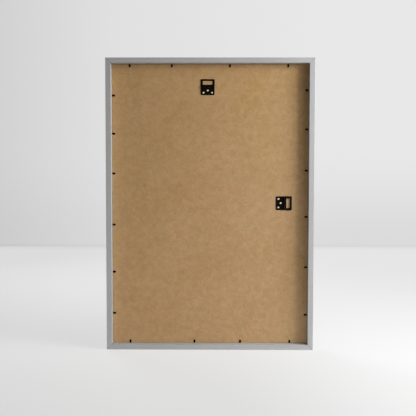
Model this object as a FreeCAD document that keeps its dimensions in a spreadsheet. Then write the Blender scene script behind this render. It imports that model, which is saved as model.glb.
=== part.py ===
import FreeCAD, Part
import math
import os
import Sketcher

# A rear-loading picture frame for a 70 x 100 cm picture, with its back panel and two folding hangers.
# The back of the frame faces -Y, +Z is up, and +X is on the right for someone who looks at the back.
# The origin is the middle of the frame's footprint, on the surface that it stands on.
# Lengths are millimetres and angles are degrees.

SIZES = {
    # The picture package, from the front to the back
    "picture_width": 700,
    "picture_height": 1000,
    "glazing_thickness": 2,
    "insert_thickness": 0.4,
    "board_thickness": 3,
    "rebate_clearance": 1,
    # The rails
    "rail_wall": 18.3,
    "lip_width": 6,
    "lip_thickness": 5,
    "recess_depth": 28,
    "arris_radius": 1,
    # The bent nails across each mitre
    "nail_leg": 6,
    "nail_sheet": 0.6,
    "nail_height": 10,
    # The flexible points in the rebate wall
    "point_width": 7,
    "point_sheet": 0.5,
    "point_reach": 11,
    "point_drive": 6,
    "point_taper": 2.5,
    "point_corner": 1.8,
    "point_bend_gap": 0.1,
    "point_board_gap": 0.2,
    # The hangers: a riveted plate and a folding loop on one pin
    "plate_width": 49,
    "plate_reach": 28.6,
    "plate_sheet": 1.2,
    "plate_corner": 3.2,
    "loop_width": 50,
    "loop_reach": 27.9,
    "loop_sheet": 1,
    "loop_corner": 3,
    "loop_side_bar": 7.7,
    "loop_end_bar": 6.3,
    "slot_height": 13.4,
    "slot_corner": 1.6,
    "knuckle_width": 17,
    "knuckle_gap": 0.3,
    "pin_radius": 1.25,
    "pin_clearance": 0.05,
    "pin_chamfer": 0.3,
    # The rivets of the hangers
    "rivet_radius": 2,
    "rivet_head_radius": 3.2,
    "rivet_head_height": 0.9,
    "rivet_tail_radius": 2.9,
    "rivet_tail_height": 0.9,
    # How far every cutting outline runs past what it cuts
    "overrun": 2,
}

# The sheet of a rolled knuckle goes this far round its pin
ROLL_SWEEP = 295

# Where the pieces sit, as shares chosen by hand
NAIL_SHARES = (0.24, 0.6)
POINT_SHARES = {
    "bottom": (0.089, 0.421, 0.657, 0.912),
    "left": (0.1075, 0.2575, 0.4283, 0.6123, 0.7542, 0.8897),
    "top": (0.0906, 0.305, 0.6008, 0.8969),
    "right": (0.1022, 0.2751, 0.457, 0.6232, 0.7701, 0.9089),
}
RIVET_SHARES = ((-0.31, 0.7), (0, 0.42), (0.31, 0.7))
TOP_HANGER_SHARES = (0.4876, 0.92)
SIDE_HANGER_SHARES = (0.8792, 0.5061)
# How many degrees each loop is folded out from the panel at rest
LOOP_LIFTS = {"top": 0, "side": 6}

QUARTER_TURN = 90
SAME_PLACE = 0.001


class Size:
    """A size that knows its number and the sheet expression that gives it."""

    def __init__(self, number, text):
        self.number = number
        self.text = text

    def __add__(self, other):
        other = as_size(other)
        return Size(self.number + other.number, f"({self.text} + {other.text})")

    def __sub__(self, other):
        other = as_size(other)
        return Size(self.number - other.number, f"({self.text} - {other.text})")

    def __mul__(self, factor):
        factor = as_size(factor)
        return Size(self.number * factor.number, f"({self.text} * {factor.text})")

    def __truediv__(self, factor):
        return Size(self.number / factor, f"({self.text} / {factor})")

    def __neg__(self):
        return Size(-self.number, f"(-{self.text})")


def as_size(value):
    """A plain factor, share or zero as a Size."""
    return value if isinstance(value, Size) else Size(value, repr(value))


def loose(value):
    """A starting number for a coordinate that the rest of its outline settles."""
    return Size(as_size(value).number, None)


doc = FreeCAD.newDocument("PictureFrame")
sheet = doc.addObject("Spreadsheet::Sheet", "Sizes")
for row, (alias, number) in enumerate(SIZES.items(), start=1):
    sheet.set(f"A{row}", alias)
    sheet.set(f"B{row}", str(number))
    sheet.setAlias(f"B{row}", alias)
doc.recompute()


def cell(alias):
    return Size(float(sheet.get(alias)), f"Sizes.{alias}")


picture_width = cell("picture_width")
picture_height = cell("picture_height")
rail_wall = cell("rail_wall")
lip_width = cell("lip_width")
lip_thickness = cell("lip_thickness")
glazing_thickness = cell("glazing_thickness")
insert_thickness = cell("insert_thickness")
board_thickness = cell("board_thickness")
recess_depth = cell("recess_depth")
overrun = cell("overrun")

# The rebate is a little larger than the picture, and the rails stand round it
rail_offset = rail_wall + cell("rebate_clearance")
outer_width = picture_width + rail_offset * 2
outer_height = picture_height + rail_offset * 2
package_thickness = board_thickness + insert_thickness + glazing_thickness
depth = recess_depth + package_thickness + lip_thickness
back_y = -(depth / 2)
board_y = back_y + recess_depth

nodes = []


def bind(item, name, size):
    """Ties a property of an object to the sheet."""
    item.setExpression(name, as_size(size).text)


def place(item, spot, y, turn=0, lift=0):
    """Puts an object at a spot, which is an x and a z, after lifting it about X and turning it about Y."""
    lifted = FreeCAD.Rotation(FreeCAD.Vector(1, 0, 0), lift)
    turned = FreeCAD.Rotation(FreeCAD.Vector(0, 1, 0), turn)
    item.Placement = FreeCAD.Placement(FreeCAD.Vector(), turned * lifted)
    bind(item, "Placement.Base.x", spot[0])
    bind(item, "Placement.Base.y", y)
    bind(item, "Placement.Base.z", spot[1])


def spot_from(base, turn, across, inward):
    """The spot that lies across and inward from a base, in the base's own turned directions."""
    steps = {
        0: (as_size(across), as_size(inward)),
        QUARTER_TURN: (as_size(inward), -as_size(across)),
        2 * QUARTER_TURN: (-as_size(across), -as_size(inward)),
        3 * QUARTER_TURN: (-as_size(inward), as_size(across)),
    }
    step = steps[turn]
    return (base[0] + step[0], base[1] + step[1])


def new_body(name):
    body = doc.addObject("PartDesign::Body", name)
    body.Label = name
    return body


def new_sketch(body, plane):
    """A sketch on one of the body's own origin planes."""
    sketch = body.newObject("Sketcher::SketchObject", f"{body.Name}_sketch")
    support = next(item for item in body.Origin.OriginFeatures if item.Role == plane)
    sketch.AttachmentSupport = [(support, "")]
    sketch.MapMode = "FlatFace"
    return sketch


def hold(sketch, kind, edge, end, size):
    """Holds one coordinate of a point in a sketch at a size."""
    size = as_size(size)
    if size.text is None:
        return
    number = sketch.addConstraint(Sketcher.Constraint(kind, -1, 1, edge, end, size.number))
    name = f"{kind}_{number}"
    sketch.renameConstraint(number, name)
    sketch.setExpression(f"Constraints.{name}", size.text)


def arc_about(centre, start, end, clockwise):
    """An arc for a sketch. Sketches draw every arc the same way round, so a clockwise one is swapped."""
    first, last = (end, start) if clockwise else (start, end)
    radius = math.hypot(first.x - centre.x, first.y - centre.y)
    circle = Part.Circle(centre, FreeCAD.Vector(0, 0, 1), radius)
    angles = [math.atan2(point.y - centre.y, point.x - centre.x) for point in (first, last)]
    if angles[1] <= angles[0]:
        angles[1] += 2 * math.pi
    return Part.ArcOfCircle(circle, angles[0], angles[1])


def draw(sketch, points, arcs=()):
    """Draws one closed outline. Each arc is (edge, centre, clockwise), and the other edges are straight."""
    arcs = {edge: (centre, clockwise) for edge, centre, clockwise in arcs}
    spots = [FreeCAD.Vector(as_size(x).number, as_size(y).number, 0) for x, y in points]
    first = sketch.GeometryCount
    count = len(points)
    starts, ends = [], []
    for index in range(count):
        start, end = spots[index], spots[(index + 1) % count]
        if index in arcs:
            centre, clockwise = arcs[index]
            middle = FreeCAD.Vector(as_size(centre[0]).number, as_size(centre[1]).number, 0)
            sketch.addGeometry(arc_about(middle, start, end, clockwise), False)
            starts.append(2 if clockwise else 1)
            ends.append(1 if clockwise else 2)
        else:
            sketch.addGeometry(Part.LineSegment(start, end), False)
            starts.append(1)
            ends.append(2)
    for index in range(count):
        following = (index + 1) % count
        joint = (first + index, ends[index], first + following, starts[following])
        sketch.addConstraint(Sketcher.Constraint("Coincident", *joint))
    for index, (x, y) in enumerate(points):
        hold(sketch, "DistanceX", first + index, starts[index], x)
        hold(sketch, "DistanceY", first + index, starts[index], y)
    for index, (centre, clockwise) in arcs.items():
        hold(sketch, "DistanceX", first + index, 3, centre[0])
        hold(sketch, "DistanceY", first + index, 3, centre[1])


def rectangle(low, high):
    """The corners of a rectangle, from its lowest and highest corner."""
    return [low, (high[0], low[1]), high, (low[0], high[1])]


def pad(body, sketch, length, both_ways=True, reverse=False):
    feature = body.newObject("PartDesign::Pad", f"{body.Name}_pad")
    feature.Profile = sketch
    bind(feature, "Length", length)
    feature.Midplane = both_ways
    feature.Reversed = reverse
    doc.recompute()
    return feature


def cut_through(body, sketch):
    """Cuts the outlines of a sketch right through the body, to both sides of the sketch."""
    before = body.Shape.Volume
    feature = body.newObject("PartDesign::Pocket", f"{body.Name}_pocket")
    feature.Profile = sketch
    feature.Type = "ThroughAll"
    feature.Midplane = True
    doc.recompute()
    if body.Shape.Volume >= before:
        raise RuntimeError(f"{feature.Label} cuts nothing")
    return feature


def edges_near(feature, spots):
    """The names of the edges whose middle point lies at one of the spots. A None matches any place."""
    found = []
    for number, edge in enumerate(feature.Shape.Edges, start=1):
        middle = edge.valueAt((edge.FirstParameter + edge.LastParameter) / 2)
        for spot in spots:
            gaps = [abs(a - as_size(b).number) for a, b in zip(middle, spot) if b is not None]
            if max(gaps) < SAME_PLACE:
                found.append(f"Edge{number}")
                break
    return found


def dress(body, kind, base, spots, name, size):
    """Adds a fillet or a chamfer to the edges at the given spots."""
    names = edges_near(base, spots)
    if len(names) != len(spots):
        raise RuntimeError(f"{body.Label} has {len(names)} of {len(spots)} edges to dress")
    feature = body.newObject(f"PartDesign::{kind}", f"{body.Name}_{kind.lower()}")
    feature.Base = (base, names)
    bind(feature, name, size)
    doc.recompute()
    return feature


def group(name, items):
    """Identical fasteners as one node of separate solids."""
    compound = doc.addObject("Part::Compound", name)
    compound.Label = name
    compound.Links = items
    return compound


def seat(name, blank, tools):
    """A node made from a blank by cutting the seats of the fasteners that it holds."""
    fasteners = doc.addObject("Part::Compound", f"{name}_seats")
    fasteners.Links = tools
    node = doc.addObject("Part::Cut", name)
    node.Label = name
    node.Base = blank
    node.Tool = fasteners
    return node


# Each side has a base on the outer face, at the middle of its rail, and a turn that carries X along the
# rail and Z inward. The last value says whether X then runs up or to the right (1) or the other way (-1).
SIDES = {
    "bottom": ((as_size(0), as_size(0)), 0, 1),
    "left": ((-(outer_width / 2), outer_height / 2), QUARTER_TURN, -1),
    "top": ((as_size(0), outer_height), 2 * QUARTER_TURN, -1),
    "right": ((outer_width / 2, outer_height / 2), 3 * QUARTER_TURN, 1),
}


def rail_blank(side):
    """A length of L-section moulding, with its long arrises rounded and both ends mitred."""
    base, turn, _ = SIDES[side]
    length = outer_width if side in ("top", "bottom") else outer_height
    body = new_body(f"rail_{side}_blank")
    lip_top = rail_wall + lip_width
    lip_back = depth - lip_thickness
    section = new_sketch(body, "YZ_Plane")
    outline = [
        (0, 0),
        (depth, 0),
        (depth, lip_top),
        (lip_back, lip_top),
        (lip_back, rail_wall),
        (0, rail_wall),
    ]
    draw(section, outline)
    stick = pad(body, section, length)
    arrises = [(0, 0, 0), (0, depth, 0), (0, depth, lip_top)]
    dress(body, "Fillet", stick, arrises, "Radius", cell("arris_radius"))
    mitres = new_sketch(body, "XZ_Plane")
    end = length / 2
    high = lip_top + overrun
    for sign in (-1, 1):
        outside = (end + overrun) * sign
        draw(mitres, [(outside, -overrun), ((end - high) * sign, high), (outside, high)])
    cut_through(body, mitres)
    place(body, base, back_y, turn)
    return body


def mitre_nails():
    """Two bent nails in each corner, driven in flush with the back face, one leg in each rail."""
    leg, thick = cell("nail_leg"), cell("nail_sheet")
    corners = {
        0: (-(outer_width / 2), as_size(0)),
        QUARTER_TURN: (-(outer_width / 2), outer_height),
        2 * QUARTER_TURN: (outer_width / 2, outer_height),
        3 * QUARTER_TURN: (outer_width / 2, as_size(0)),
    }
    nails = []
    for turn, corner in corners.items():
        for share in NAIL_SHARES:
            body = new_body(f"nail_{len(nails) + 1}")
            outline = new_sketch(body, "XZ_Plane")
            draw(outline, [(0, 0), (leg, 0), (leg, thick), (thick, thick), (thick, leg), (0, leg)])
            pad(body, outline, cell("nail_height"), both_ways=False, reverse=True)
            inset = rail_wall * share
            place(body, spot_from(corner, turn, inset, inset), back_y, turn)
            nails.append(body)
    return group("mitre_nails", nails)


def along_rail(side, share):
    """How far from the middle of a rail a share of the picture's width or height lies."""
    length = picture_width if side in ("top", "bottom") else picture_height
    return length * (share - 1 / 2) * SIDES[side][2]


def point_shanks(side):
    """The pointed ends of the flexible points, which are driven into the rebate wall."""
    base, turn, _ = SIDES[side]
    half = cell("point_width") / 2
    drive = cell("point_drive")
    shoulder = drive - cell("point_taper")
    middle_y = board_y - cell("point_board_gap") - cell("point_sheet") / 2
    shanks = []
    for number, share in enumerate(POINT_SHARES[side], start=1):
        body = new_body(f"shank_{side}_{number}")
        outline = new_sketch(body, "XZ_Plane")
        draw(outline, [(-half, 0), (-half, -shoulder), (0, -drive), (half, -shoulder), (half, 0)])
        pad(body, outline, cell("point_sheet"))
        place(body, spot_from(base, turn, along_rail(side, share), rail_wall), middle_y, turn)
        shanks.append(body)
    return group(f"point_shanks_{side}", shanks)


def point_leaf(side, number, share):
    """The free end of a flexible point, which bends at the wall and holds the back panel down."""
    base, turn, _ = SIDES[side]
    half_sheet = cell("point_sheet") / 2
    half_width = cell("point_width") / 2
    reach = cell("point_reach")
    body = new_body(f"point_{side}_{number}")
    section = new_sketch(body, "YZ_Plane")
    outline = [(-half_sheet, 0), (-half_sheet, reach), (half_sheet, reach), (half_sheet, 0)]
    draw(section, outline, arcs=[(3, (loose(0), 0), True)])
    leaf = pad(body, section, cell("point_width"))
    tips = [(half_width, 0, reach), (-half_width, 0, reach)]
    dress(body, "Fillet", leaf, tips, "Radius", cell("point_corner"))
    bend = rail_wall + cell("point_bend_gap") + half_sheet
    middle_y = board_y - cell("point_board_gap") - half_sheet
    place(body, spot_from(base, turn, along_rail(side, share), bend), middle_y, turn)
    return body


def package_sheet(name, thickness, back):
    """A flat sheet of the picture's size in the rebate, with its back face at the given depth."""
    body = new_body(name)
    outline = new_sketch(body, "XZ_Plane")
    draw(outline, rectangle((-(picture_width / 2), 0), (picture_width / 2, picture_height)))
    pad(body, outline, thickness, both_ways=False, reverse=True)
    place(body, (0, rail_offset), back)
    return body


plate_sheet = cell("plate_sheet")
pin_radius = cell("pin_radius")
knuckle_gap = cell("knuckle_gap")
plate_roll = pin_radius + plate_sheet
loop_eye = pin_radius + cell("pin_clearance")
loop_roll = loop_eye + cell("loop_sheet")
axis_height = plate_roll


def rolled_section(sketch, reach, inner, outer, way):
    """A strip that lies on the panel, with its end rolled round the hinge axis on the side away from the
    panel. way is 1 where the strip's free end points up, and -1 where it points down."""
    sweep = math.radians(ROLL_SWEEP)
    inside = inner - axis_height
    outside = outer - axis_height
    outline = [
        (outside, reach * way),
        (outside, 0),
        (outer * math.cos(sweep) - axis_height, loose(outer * (-math.sin(sweep) * way))),
        (inner * math.cos(sweep) - axis_height, loose(inner * (-math.sin(sweep) * way))),
        (inside, 0),
        (inside, reach * way),
    ]
    centre = (-axis_height, 0)
    draw(sketch, outline, arcs=[(1, centre, way > 0), (3, centre, way < 0)])


def hanger_plate(name):
    """The riveted plate: one blank, rolled round the pin at both sides of the loop's knuckle."""
    width, reach = cell("plate_width"), cell("plate_reach")
    body = new_body(f"{name}_blank")
    section = new_sketch(body, "YZ_Plane")
    rolled_section(section, reach, pin_radius, plate_roll, -1)
    strip = pad(body, section, width)
    half = width / 2
    middle = -(plate_sheet / 2)
    corners = [(half, middle, -reach), (-half, middle, -reach)]
    dress(body, "Fillet", strip, corners, "Radius", cell("plate_corner"))
    gap = new_sketch(body, "XZ_Plane")
    gap_half = cell("knuckle_width") / 2 + knuckle_gap
    low = (-gap_half, -(loop_roll + knuckle_gap))
    draw(gap, rectangle(low, (gap_half, plate_roll + overrun)))
    cut_through(body, gap)
    return body


def hanger_loop(name):
    """The folding loop: one blank, slotted for a wall hook and rolled round the pin at its middle."""
    width, reach = cell("loop_width"), cell("loop_reach")
    body = new_body(name)
    section = new_sketch(body, "YZ_Plane")
    rolled_section(section, reach, loop_eye, loop_roll, 1)
    strip = pad(body, section, width)
    half = width / 2
    middle = (loop_eye + loop_roll) / 2 - axis_height
    ends = [(half, middle, reach), (-half, middle, reach)]
    dress(body, "Fillet", strip, ends, "Radius", cell("loop_corner"))
    cuts = new_sketch(body, "XZ_Plane")
    shoulder = plate_roll + knuckle_gap
    knuckle_half = cell("knuckle_width") / 2
    draw(cuts, rectangle((-(half + overrun), -(loop_roll + overrun)), (-knuckle_half, shoulder)))
    draw(cuts, rectangle((knuckle_half, -(loop_roll + overrun)), (half + overrun, shoulder)))
    slot_half = half - cell("loop_side_bar")
    slot_top = reach - cell("loop_end_bar")
    slot_bottom = slot_top - cell("slot_height")
    draw(cuts, rectangle((-slot_half, slot_bottom), (slot_half, slot_top)))
    slotted = cut_through(body, cuts)
    corners = [(x, middle, z) for x in (-slot_half, slot_half) for z in (slot_bottom, slot_top)]
    dress(body, "Fillet", slotted, corners, "Radius", cell("slot_corner"))
    return body


def hinge_pin(name):
    """The pin through all three knuckles, held by the plate's."""
    body = new_body(name)
    half = cell("plate_width") / 2
    tip = pin_radius - cell("pin_chamfer")
    shoulder = half - cell("pin_chamfer")
    outline = new_sketch(body, "XY_Plane")
    near, far = -axis_height, -(axis_height + pin_radius)
    draw(
        outline,
        [
            (-half, near),
            (-half, -(axis_height + tip)),
            (-shoulder, far),
            (shoulder, far),
            (half, -(axis_height + tip)),
            (half, near),
        ],
    )
    turn_about(body, outline, "Edge6")
    return body


def turn_about(body, outline, edge):
    """Revolves an outline about one of its own straight edges."""
    feature = body.newObject("PartDesign::Revolution", f"{body.Name}_revolution")
    feature.Profile = outline
    feature.ReferenceAxis = (outline, [edge])
    feature.Angle = 4 * QUARTER_TURN
    doc.recompute()
    return feature


def rivet(name):
    """A domed rivet whose tail is spread flush with the panel's inner face."""
    body = new_body(name)
    outline = new_sketch(body, "XY_Plane")
    radius, head, tail = cell("rivet_radius"), cell("rivet_head_radius"), cell("rivet_tail_radius")
    height = cell("rivet_head_height")
    crown = plate_sheet + height
    flare = board_thickness - cell("rivet_tail_height")
    dome_radius = (head.number**2 + height.number**2) / (2 * height.number)
    centre = (0, loose(dome_radius - crown.number))
    draw(
        outline,
        [
            (0, board_thickness),
            (0, -crown),
            (head, -plate_sheet),
            (radius, -plate_sheet),
            (radius, flare),
            (tail, board_thickness),
        ],
        arcs=[(1, centre, False)],
    )
    turn_about(body, outline, "Edge1")
    return body


def hanger(name, shares, turn):
    """One hanger on the back of the panel: its plate, loop and pin. It gives back its three rivets."""
    base = (picture_width * (shares[0] - 1 / 2), picture_height * shares[1] + rail_offset)
    plate_blank = hanger_plate(f"hanger_plate_{name}")
    loop = hanger_loop(f"hanger_loop_{name}")
    pin = hinge_pin(f"hanger_pin_{name}")
    for item in (plate_blank, pin):
        place(item, base, board_y, turn)
    lift = LOOP_LIFTS[name]
    shift = axis_height * math.sin(math.radians(lift))
    drop = axis_height * (1 - math.cos(math.radians(lift)))
    place(loop, spot_from(base, turn, 0, shift), board_y - drop, turn, lift)
    rivets = []
    for number, (across, down) in enumerate(RIVET_SHARES, start=1):
        item = rivet(f"rivet_{name}_{number}")
        spot = spot_from(base, turn, cell("plate_width") * across, -(cell("plate_reach") * down))
        place(item, spot, board_y, turn)
        rivets.append(item)
    plate = seat(f"hanger_plate_{name}", plate_blank, rivets)
    nodes.extend([plate, loop, pin])
    return rivets


def picture_package(rivets):
    """The back panel, the paper and the glazing, laid on the lip in that order from the back."""
    blank = package_sheet("back_panel_blank", board_thickness, board_y)
    panel = seat("back_panel", blank, rivets)
    insert_y = board_y + board_thickness
    insert = package_sheet("insert_sheet", insert_thickness, insert_y)
    glazing = package_sheet("glazing", glazing_thickness, insert_y + insert_thickness)
    nodes.extend([panel, insert, glazing])


def rails_and_points():
    """The four rails, each with the nails and points that are driven into it."""
    nails = mitre_nails()
    for side in SIDES:
        shanks = point_shanks(side)
        rail = seat(f"rail_{side}", rail_blank(side), [shanks, nails])
        nodes.extend([rail, shanks])
        for number, share in enumerate(POINT_SHARES[side], start=1):
            nodes.append(point_leaf(side, number, share))
    nodes.append(nails)


def check_and_write():
    """Stops on any failed object, and then writes each node to its own file."""
    doc.recompute()
    for item in doc.Objects:
        if "Invalid" in item.State or "Error" in item.State:
            raise RuntimeError(f"{item.Label} failed: {item.State}")
    for node in nodes:
        if node.Shape.isNull() or not node.Shape.isValid() or not node.Shape.Solids:
            raise RuntimeError(f"{node.Label} has no valid solid")
    os.makedirs("parts", exist_ok=True)
    for node in nodes:
        node.Shape.exportStep(f"parts/{node.Label}.step")
        box = node.Shape.BoundBox
        extent = f"{box.XLength:.1f} x {box.YLength:.1f} x {box.ZLength:.1f}"
        print(f"{node.Label}: {len(node.Shape.Solids)} solids, {extent}")


rails_and_points()
hanger_rivets = hanger("top", TOP_HANGER_SHARES, 0)
hanger_rivets += hanger("side", SIDE_HANGER_SHARES, QUARTER_TURN)
picture_package(hanger_rivets)
nodes.append(group("hanger_rivets", hanger_rivets))
check_and_write()
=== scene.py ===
import math

import bpy
from mathutils import Matrix, Vector


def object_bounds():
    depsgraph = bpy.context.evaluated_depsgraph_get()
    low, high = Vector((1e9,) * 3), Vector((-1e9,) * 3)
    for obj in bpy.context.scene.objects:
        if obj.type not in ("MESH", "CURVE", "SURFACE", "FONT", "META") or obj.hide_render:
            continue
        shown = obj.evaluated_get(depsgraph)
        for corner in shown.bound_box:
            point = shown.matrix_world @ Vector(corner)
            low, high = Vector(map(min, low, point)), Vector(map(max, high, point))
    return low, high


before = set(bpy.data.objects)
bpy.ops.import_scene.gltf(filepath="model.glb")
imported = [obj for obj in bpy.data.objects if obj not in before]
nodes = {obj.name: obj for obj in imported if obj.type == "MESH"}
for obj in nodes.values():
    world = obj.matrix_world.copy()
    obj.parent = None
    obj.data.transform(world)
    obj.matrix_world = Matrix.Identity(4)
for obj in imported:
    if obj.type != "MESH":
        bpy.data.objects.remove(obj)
cad_box = [list(corner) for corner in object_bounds()]

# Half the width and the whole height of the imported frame, in metres
HALF_WIDTH = cad_box[1][0]
HEIGHT = cad_box[1][2]


# ---------- materials ----------

# Colours are linear, lengths are metres, and a pair is a low and a high value.

# The middle part of a noise, where nearly all its values lie
NOISE_LOW, NOISE_HIGH = 0.3, 0.7

RAIL_GREY = 0.43
RAIL_ROUGHNESS = (0.42, 0.55)
GRAIN_ALONG, GRAIN_ACROSS = 1.6, 70
# The dark seam of a mitre: how far from its line it fades out
SEAM_FADE = (0.0004, 0.0014)
SEAM_STRENGTH = 0.65
SEAM_GREY = 0.1
SEAM_DEPTH = 3.0

BOARD_WARM = (0.458, 0.282, 0.119, 1)
BOARD_PALE = (0.463, 0.3, 0.151, 1)
BOARD_BLUSH = (0.486, 0.284, 0.142, 1)
BOARD_FLECK = (0.3, 0.17, 0.07, 1)
# The panel turns paler from its top left to its bottom right: how much X counts beside Z, and
# where along that slope it starts and ends
PALER_ACROSS = 0.8
PALER_FROM, PALER_TO = -1.19, 0.14
# The fibres change the panel's colour as if it held this much white
BOARD_VEIL = 0.17
FIBRE_LOW, FIBRE_HIGH = 0.28, 0.72

COATING_GREY, RUBBED_GREY = 0.003, 0.015
COATING_ROUGHNESS = (0.36, 0.5)

DARK_STEEL = 0.1
BRIGHT_STEEL = 0.5
RIVET_METAL = (0.56, 0.42, 0.26, 1)
LINES_REACH = 0.07

PAPER_WHITE = (0.82, 0.81, 0.78, 1)

SHEET_TINT = (0.9, 0.92, 0.92, 1)
SHEET_INDEX = 1.49
SHEET_COVER = (0.1, 0.16)


class Paint:
    """One node-based material, with short calls for the nodes that it uses."""

    def __init__(self, name, roughness=0.5, specular=0.5, metallic=0.0):
        self.material = bpy.data.materials.new(name)
        self.material.use_nodes = True
        self.tree = self.material.node_tree
        self.shader = self.tree.nodes["Principled BSDF"]
        self.shader.inputs["Roughness"].default_value = roughness
        self.shader.inputs["Specular IOR Level"].default_value = specular
        self.shader.inputs["Metallic"].default_value = metallic
        self.place = self.node("ShaderNodeTexCoord").outputs["Object"]

    def node(self, kind, **settings):
        made = self.tree.nodes.new(kind)
        for name, value in settings.items():
            setattr(made, name, value)
        return made

    def feed(self, socket, value):
        """Links an output to a socket, or sets the socket to a plain value."""
        if isinstance(value, bpy.types.NodeSocket):
            self.tree.links.new(value, socket)
        else:
            socket.default_value = value

    def sums(self, operation, *values, clamp=False):
        made = self.node("ShaderNodeMath", operation=operation, use_clamp=clamp)
        for socket, value in zip(made.inputs, values):
            self.feed(socket, value)
        return made.outputs[0]

    def stretched(self, scale, turn=(0, 0, 0)):
        made = self.node("ShaderNodeMapping")
        self.feed(made.inputs["Vector"], self.place)
        made.inputs["Scale"].default_value = scale
        made.inputs["Rotation"].default_value = turn
        return made.outputs[0]

    def noise(self, where, scale, detail=2.0, rough=0.5, warp=0.0):
        made = self.node("ShaderNodeTexNoise")
        self.feed(made.inputs["Vector"], where)
        made.inputs["Scale"].default_value = scale
        made.inputs["Detail"].default_value = detail
        made.inputs["Roughness"].default_value = rough
        made.inputs["Distortion"].default_value = warp
        return made.outputs["Fac"]

    def ranged(self, value, low_in, high_in, low_out=0.0, high_out=1.0, smooth=False):
        made = self.node(
            "ShaderNodeMapRange", interpolation_type="SMOOTHSTEP" if smooth else "LINEAR"
        )
        for socket, amount in zip(made.inputs, (value, low_in, high_in, low_out, high_out)):
            self.feed(socket, amount)
        return made.outputs[0]

    def swing(self, noise, low, high):
        """Spreads the middle part of a noise over a range."""
        return self.ranged(noise, NOISE_LOW, NOISE_HIGH, low, high)

    def blend(self, factor, first, second, how="MIX"):
        made = self.node("ShaderNodeMix", data_type="RGBA", blend_type=how)
        self.feed(made.inputs[0], factor)
        for socket, value in zip((made.inputs[6], made.inputs[7]), (first, second)):
            self.feed(socket, value)
        return made.outputs[2]

    def shade(self, colour, amount):
        """The colour times a number that varies over the surface."""
        made = self.node("ShaderNodeVectorMath", operation="SCALE")
        self.feed(made.inputs[0], colour[:3] if isinstance(colour, tuple) else colour)
        self.feed(made.inputs["Scale"], amount)
        return made.outputs[0]

    def bump(self, height, distance, strength, before=None):
        made = self.node("ShaderNodeBump")
        self.feed(made.inputs["Height"], height)
        made.inputs["Distance"].default_value = distance
        made.inputs["Strength"].default_value = strength
        if before is not None:
            self.feed(made.inputs["Normal"], before)
        return made.outputs[0]

    def axes(self):
        made = self.node("ShaderNodeSeparateXYZ")
        self.feed(made.inputs[0], self.place)
        return made.outputs

    def finish(self, colour, normal=None, roughness=None):
        self.feed(self.shader.inputs["Base Color"], colour)
        if normal is not None:
            self.feed(self.shader.inputs["Normal"], normal)
        if roughness is not None:
            self.feed(self.shader.inputs["Roughness"], roughness)
        return self.material


def grey(value):
    return (value, value, value, 1)


def rail_paint(name, stretch):
    """Satin grey paint over straight-grained wood, with a dark seam at each mitre."""
    paint = Paint(name, specular=0.35)
    grain = paint.noise(paint.stretched(stretch), 4, detail=5, rough=0.6, warp=0.3)
    cloud = paint.noise(paint.place, 9, detail=3)
    peel = paint.noise(paint.place, 900, detail=2)
    tone = paint.sums("ADD", paint.swing(grain, -0.03, 0.03), paint.swing(cloud, -0.025, 0.025))
    x, _, z = paint.axes()
    from_side = paint.sums("SUBTRACT", HALF_WIDTH, paint.sums("ABSOLUTE", x))
    from_end = paint.sums("MINIMUM", z, paint.sums("SUBTRACT", HEIGHT, z))
    from_mitre = paint.sums("ABSOLUTE", paint.sums("SUBTRACT", from_side, from_end))
    seam = paint.ranged(from_mitre, *SEAM_FADE, 1, 0, smooth=True)
    colour = paint.shade(grey(RAIL_GREY), paint.sums("ADD", 1.0, tone))
    colour = paint.blend(paint.sums("MULTIPLY", seam, SEAM_STRENGTH), colour, grey(SEAM_GREY))
    height = paint.sums(
        "ADD", paint.sums("MULTIPLY", grain, 0.7), paint.sums("MULTIPLY", peel, 0.3)
    )
    height = paint.sums("SUBTRACT", height, paint.sums("MULTIPLY", seam, SEAM_DEPTH))
    normal = paint.bump(height, 0.0001, 0.6)
    return paint.finish(colour, normal, paint.swing(grain, *RAIL_ROUGHNESS))


def fibreboard():
    """Bare fibreboard: fine fibres lying every way in faint clouds, with small darker flecks."""
    paint = Paint("bare_fibreboard", roughness=0.85, specular=0.2)
    clouds = paint.noise(paint.place, 5, detail=3)
    mottle = paint.noise(paint.place, 55, detail=3, rough=0.6, warp=0.5)
    tufts = paint.noise(paint.place, 210, detail=3, rough=0.6, warp=1.2)
    strands = paint.noise(paint.stretched((1, 1, 0.2), (0, 0.6, 0)), 1400, detail=2, warp=0.8)
    crossing = paint.noise(paint.stretched((0.2, 1, 1), (0, 0.5, 0)), 1200, detail=2, warp=0.8)
    tone = paint.swing(clouds, -0.02, 0.02)
    for part, reach in ((mottle, 0.068), (tufts, 0.066), (strands, 0.045), (crossing, 0.045)):
        tone = paint.sums("ADD", tone, paint.ranged(part, FIBRE_LOW, FIBRE_HIGH, -reach, reach))

    x, _, z = paint.axes()
    slope = paint.sums("SUBTRACT", paint.sums("MULTIPLY", x, PALER_ACROSS), z)
    paler = paint.ranged(slope, PALER_FROM, PALER_TO)
    paler = paint.sums("ADD", paler, paint.swing(clouds, -0.25, 0.25), clamp=True)
    colour = paint.blend(paler, BOARD_WARM, BOARD_PALE)
    blush = paint.noise(paint.place, 22, detail=4, rough=0.55, warp=0.4)
    blush = paint.ranged(blush, 0.4, 0.7, 0, 0.55, smooth=True)
    colour = paint.blend(blush, colour, BOARD_BLUSH)
    colour = paint.blend(1.0, colour, grey(BOARD_VEIL), "ADD")
    colour = paint.shade(colour, paint.sums("ADD", 1.0, tone))
    colour = paint.blend(1.0, colour, grey(BOARD_VEIL), "SUBTRACT")
    flecks = paint.noise(paint.stretched((1, 1, 0.45), (0, 0.9, 0)), 330, detail=1, warp=0.5)
    flecks = paint.ranged(flecks, 0.68, 0.78, 0, 0.4, smooth=True)
    colour = paint.blend(flecks, colour, BOARD_FLECK)

    height = paint.sums("ADD", strands, crossing)
    normal = paint.bump(height, 0.00012, 0.6, paint.bump(tufts, 0.0003, 0.4))
    return paint.finish(colour, normal)


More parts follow.
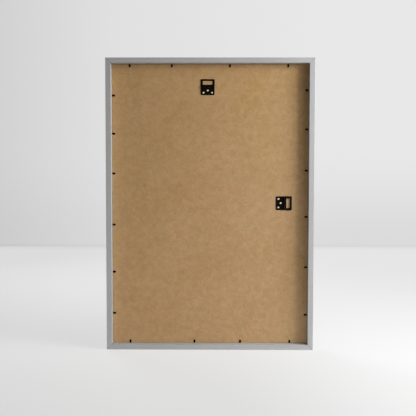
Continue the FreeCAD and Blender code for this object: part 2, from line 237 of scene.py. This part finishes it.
def black_steel():
    """A thin black coating on pressed steel, with a fine skin and a few rubbed specks."""
    paint = Paint("black_steel", specular=0.03)
    skin = paint.noise(paint.place, 2600, detail=2)
    cloud = paint.noise(paint.place, 120, detail=3, rough=0.6)
    rubbed = paint.noise(paint.place, 480, detail=4, rough=0.7)
    rubbed = paint.ranged(rubbed, 0.66, 0.74, 0, 0.35, smooth=True)
    colour = paint.shade(grey(COATING_GREY), paint.swing(cloud, 0.8, 1.25))
    colour = paint.blend(rubbed, colour, grey(RUBBED_GREY))
    normal = paint.bump(skin, 0.00003, 0.6)
    return paint.finish(colour, normal, paint.swing(cloud, *COATING_ROUGHNESS))


def bare_metal(name, colour, roughness):
    """Bare or plated metal with fine marks and a faint stain."""
    paint = Paint(name, metallic=1.0, specular=0.5)
    lines = paint.noise(paint.place, 900, detail=3, rough=0.6)
    stain = paint.noise(paint.place, 260, detail=3)
    colour = paint.shade(colour, paint.swing(stain, 0.86, 1.08))
    gloss = paint.swing(lines, roughness - LINES_REACH, roughness + LINES_REACH)
    return paint.finish(colour, paint.bump(lines, 0.00002, 0.5), gloss)


def plain_paper():
    """Bare white paper with a faint formation of its fibres."""
    paint = Paint("plain_paper", roughness=0.9, specular=0.2)
    cloud = paint.noise(paint.place, 260, detail=4, rough=0.6)
    fibre = paint.noise(paint.place, 1800, detail=2, warp=1.0)
    tone = paint.sums("ADD", paint.swing(cloud, 0.97, 1.0), paint.swing(fibre, -0.012, 0.012))
    return paint.finish(paint.shade(PAPER_WHITE, tone), paint.bump(fibre, 0.00004, 0.5))


def clear_sheet():
    """Clear acrylic: a faint tint, a sharp gloss and a trace of dust."""
    paint = Paint("clear_sheet", roughness=0.03, specular=0.5)
    dust = paint.noise(paint.place, 700, detail=4, rough=0.7)
    haze = paint.noise(paint.place, 5, detail=2)
    paint.feed(paint.shader.inputs["Alpha"], paint.ranged(dust, 0.45, 0.8, *SHEET_COVER))
    paint.shader.inputs["IOR"].default_value = SHEET_INDEX
    return paint.finish(SHEET_TINT, roughness=paint.swing(haze, 0.02, 0.06))


def wear(names, material):
    """Gives CAD nodes a material."""
    for name in names:
        nodes[name].data.materials.clear()
        nodes[name].data.materials.append(material)


COATED = ("point_", "hanger_plate_", "hanger_loop_")
level_paint = rail_paint("rail_paint_level", (GRAIN_ALONG, GRAIN_ACROSS, GRAIN_ACROSS))
upright_paint = rail_paint("rail_paint_upright", (GRAIN_ACROSS, GRAIN_ACROSS, GRAIN_ALONG))

wear(("rail_top", "rail_bottom"), level_paint)
wear(("rail_left", "rail_right"), upright_paint)
wear(("back_panel",), fibreboard())
wear((name for name in nodes if name.startswith(COATED)), black_steel())
wear(("hanger_pin_top", "hanger_pin_side"), bare_metal("dark_steel", grey(DARK_STEEL), 0.4))
wear(("mitre_nails",), bare_metal("bright_steel", grey(BRIGHT_STEEL), 0.35))
wear(("hanger_rivets",), bare_metal("rivet_metal", RIVET_METAL, 0.42))
wear(("insert_sheet",), plain_paper())
wear(("glazing",), clear_sheet())


# ---------- floor and backdrop ----------

WALL_Y = 3.451
ROOM = 9.0
CEILING = 7.0

# The floor reflects more light onto the object from nearby than from afar
NEAR_REACH, FAR_REACH = 0.35, 1.0
FLOOR_NEAR_BOUNCE, FLOOR_FAR_BOUNCE = 0.6, 0.2
FLOOR_SHOWN = 0.8
FLOOR_OWN_SHARE = 0.75
WALL_BOUNCE = 0.6
WALL_SHOWN = 0.6
WALL_OWN_SHARE = 1.0


def flat_piece(name, corners):
    mesh = bpy.data.meshes.new(name)
    mesh.from_pydata(corners, [], [tuple(range(len(corners)))])
    made = bpy.data.objects.new(name, mesh)
    bpy.context.scene.collection.objects.link(made)
    return made


def seen_rays(tree):
    """One where the camera, gloss or glass looks at the surface, and zero for its other light."""
    path = tree.nodes.new("ShaderNodeLightPath").outputs
    seen = path["Is Camera Ray"]
    for ray in ("Is Glossy Ray", "Is Transmission Ray"):
        larger = tree.nodes.new("ShaderNodeMath")
        larger.operation = "MAXIMUM"
        tree.links.new(seen, larger.inputs[0])
        tree.links.new(path[ray], larger.inputs[1])
        seen = larger.outputs[0]
    return seen


def backdrop_paint(name, own_light, near_bounce, far_bounce, shown, share):
    """Matt paint that reflects little light onto the object from afar.

    What the camera, gloss and glass see of it is pale: a share of the surface's own light, and
    for the rest a lit white that keeps the object's shadow.
    """
    paint = Paint(name, roughness=0.9, specular=0.1)
    x, y, _ = paint.axes()
    squares = paint.sums("ADD", paint.sums("POWER", x, 2.0), paint.sums("POWER", y, 2.0))
    distance = paint.sums("SQRT", squares)
    near = paint.ranged(distance, NEAR_REACH, FAR_REACH, 1, 0, smooth=True)
    bounced = paint.blend(near, grey(far_bounce), grey(near_bounce))
    seen = seen_rays(paint.tree)
    paint.finish(paint.blend(seen, bounced, grey(shown)))
    glow = paint.node("ShaderNodeEmission")
    paint.feed(glow.inputs["Color"], paint.shade(grey(1.0), own_light(paint)))
    mixed = paint.node("ShaderNodeMixShader")
    paint.feed(mixed.inputs[0], paint.sums("MULTIPLY", seen, share))
    paint.feed(mixed.inputs[1], paint.shader.outputs[0])
    paint.feed(mixed.inputs[2], glow.outputs[0])
    paint.feed(paint.tree.nodes["Material Output"].inputs["Surface"], mixed.outputs[0])
    return paint.material


def wall_light(paint):
    """Painted light and shade in the backdrop's own light: brighter to the right, a little darker
    towards the floor, with a painted shadow line at its foot.
    """
    x, _, z = paint.axes()
    # Painted light: brighter to the right
    across = paint.sums(
        "ADD", paint.ranged(x, -1.95, -0.9, 0.64, 0.745), paint.ranged(x, -0.9, 0.9, 0, 0.057)
    )
    # Painted shade: a little darker towards the floor
    foot = paint.ranged(z, 0, 0.9, paint.ranged(x, -0.5, 1.2, 0.935, 0.88), 1, smooth=True)
    # A painted shadow line at the foot of the wall
    line = paint.ranged(z, 0.012, 0.03, paint.ranged(x, -1.5, 1, 0.95, 0.975), 1, smooth=True)
    return paint.sums("MULTIPLY", across, paint.sums("MULTIPLY", foot, line))


def floor_light(paint):
    """Painted light and shade in the floor's own light: brightest beside the object on the right
    and towards the back, darker far to the left, at the front and at the foot of the wall.
    """
    x, y, _ = paint.axes()
    # Painted shade: a little darker far to the left
    left = paint.ranged(x, -1.2, -0.7, -0.04, 0)
    # Painted light: brighter on the right
    right = paint.ranged(x, 0, 0.6, 0, 0.11, smooth=True)
    # Painted light: brighter towards the back
    back = paint.ranged(y, 0.4, 2.5, 0, paint.ranged(x, -0.5, 0.9, 0.13, 0.07))
    # Painted shade: darker at the front
    front = paint.ranged(y, -0.75, -0.1, -0.11, 0)
    # The base level, with painted shade towards the foot of the wall
    base_and_wall_foot_shade = paint.ranged(y, 3.15, WALL_Y, 0.825, 0.75)
    across = paint.sums("ADD", left, right)
    along = paint.sums("ADD", back, front)
    return paint.sums("ADD", base_and_wall_foot_shade, paint.sums("ADD", across, along))


floor = flat_piece(
    "floor", [(-ROOM, -ROOM, 0), (ROOM, -ROOM, 0), (ROOM, WALL_Y, 0), (-ROOM, WALL_Y, 0)]
)
floor.data.materials.append(backdrop_paint(
    "floor_paint", floor_light, FLOOR_NEAR_BOUNCE, FLOOR_FAR_BOUNCE, FLOOR_SHOWN, FLOOR_OWN_SHARE
))
wall = flat_piece(
    "backdrop",
    [(-ROOM, WALL_Y, 0), (ROOM, WALL_Y, 0), (ROOM, WALL_Y, CEILING), (-ROOM, WALL_Y, CEILING)],
)
wall.data.materials.append(backdrop_paint(
    "backdrop_paint", wall_light, WALL_BOUNCE, WALL_BOUNCE, WALL_SHOWN, WALL_OWN_SHARE
))


# ---------- light ----------

# For each lamp: its spot, what it points at, its two sides, its watts, its spread in degrees,
# and whether gloss shows it
LAMPS = {
    "key_lamp": ((1.84, -0.7, 1.24), (0, 0, 0.5), (0.9, 1.2), 56, 180, True),
    "second_lamp": ((1.45, -1.45, 1.35), (0, 0, 0.5), (1.0, 1.0), 9.2, 180, True),
    "fill_lamp": ((-0.1, -1.3, 0.16), (0, 0, 0.05), (1.6, 0.3), 4, 180, True),
    "far_lamp": ((-1.9, 2.8, 1.3), (0, 0, 0.5), (1.4, 1.2), 16, 75, False),
}
AMBIENT = 0.035
SURROUNDINGS_GREY = 0.78


def soft_lamp(name, spot, aim, sides, watts, spread, gloss):
    light = bpy.data.lights.new(name, "AREA")
    light.shape = "RECTANGLE"
    light.size, light.size_y = sides
    light.energy = watts
    light.spread = math.radians(spread)
    lamp = bpy.data.objects.new(name, light)
    bpy.context.scene.collection.objects.link(lamp)
    lamp.location = spot
    lamp.rotation_mode = "QUATERNION"
    lamp.rotation_quaternion = (Vector(aim) - Vector(spot)).to_track_quat("-Z", "Y")
    lamp.visible_camera = False
    lamp.visible_glossy = gloss


for lamp_name, settings in LAMPS.items():
    soft_lamp(lamp_name, *settings)

world = bpy.data.worlds.new("studio")
bpy.context.scene.world = world
world.use_nodes = True
tree = world.node_tree
ambient = tree.nodes["Background"]
ambient.inputs["Color"].default_value = grey(1.0)
ambient.inputs["Strength"].default_value = AMBIENT
surroundings = tree.nodes.new("ShaderNodeBackground")
surroundings.inputs["Color"].default_value = grey(SURROUNDINGS_GREY)
mixed = tree.nodes.new("ShaderNodeMixShader")
tree.links.new(seen_rays(tree), mixed.inputs[0])
tree.links.new(ambient.outputs[0], mixed.inputs[1])
tree.links.new(surroundings.outputs[0], mixed.inputs[2])
tree.links.new(mixed.outputs[0], tree.nodes["World Output"].inputs["Surface"])


# ---------- camera and view ----------

SENSOR = 36.0
PIXELS = 416
FOCAL_PIXELS = 621.6
CAMERA_SPOT = (0.00884, -2.2242, 0.6075)
YAW, PITCH, ROLL = (math.radians(angle) for angle in (0.405, -2.557, -0.078))

camera_data = bpy.data.cameras.new("photo_camera")
camera_data.sensor_width = SENSOR
camera_data.lens = SENSOR * FOCAL_PIXELS / PIXELS
camera = bpy.data.objects.new("photo_camera", camera_data)
bpy.context.scene.collection.objects.link(camera)
turn = Matrix.Rotation(YAW, 4, "Z") @ Matrix.Rotation(PITCH, 4, "X") @ Matrix.Rotation(ROLL, 4, "Y")
level = Matrix.Rotation(math.radians(90), 4, "X")
camera.matrix_world = Matrix.Translation(CAMERA_SPOT) @ turn @ level
bpy.context.scene.camera = camera
bpy.context.scene.view_settings.view_transform = "Standard"
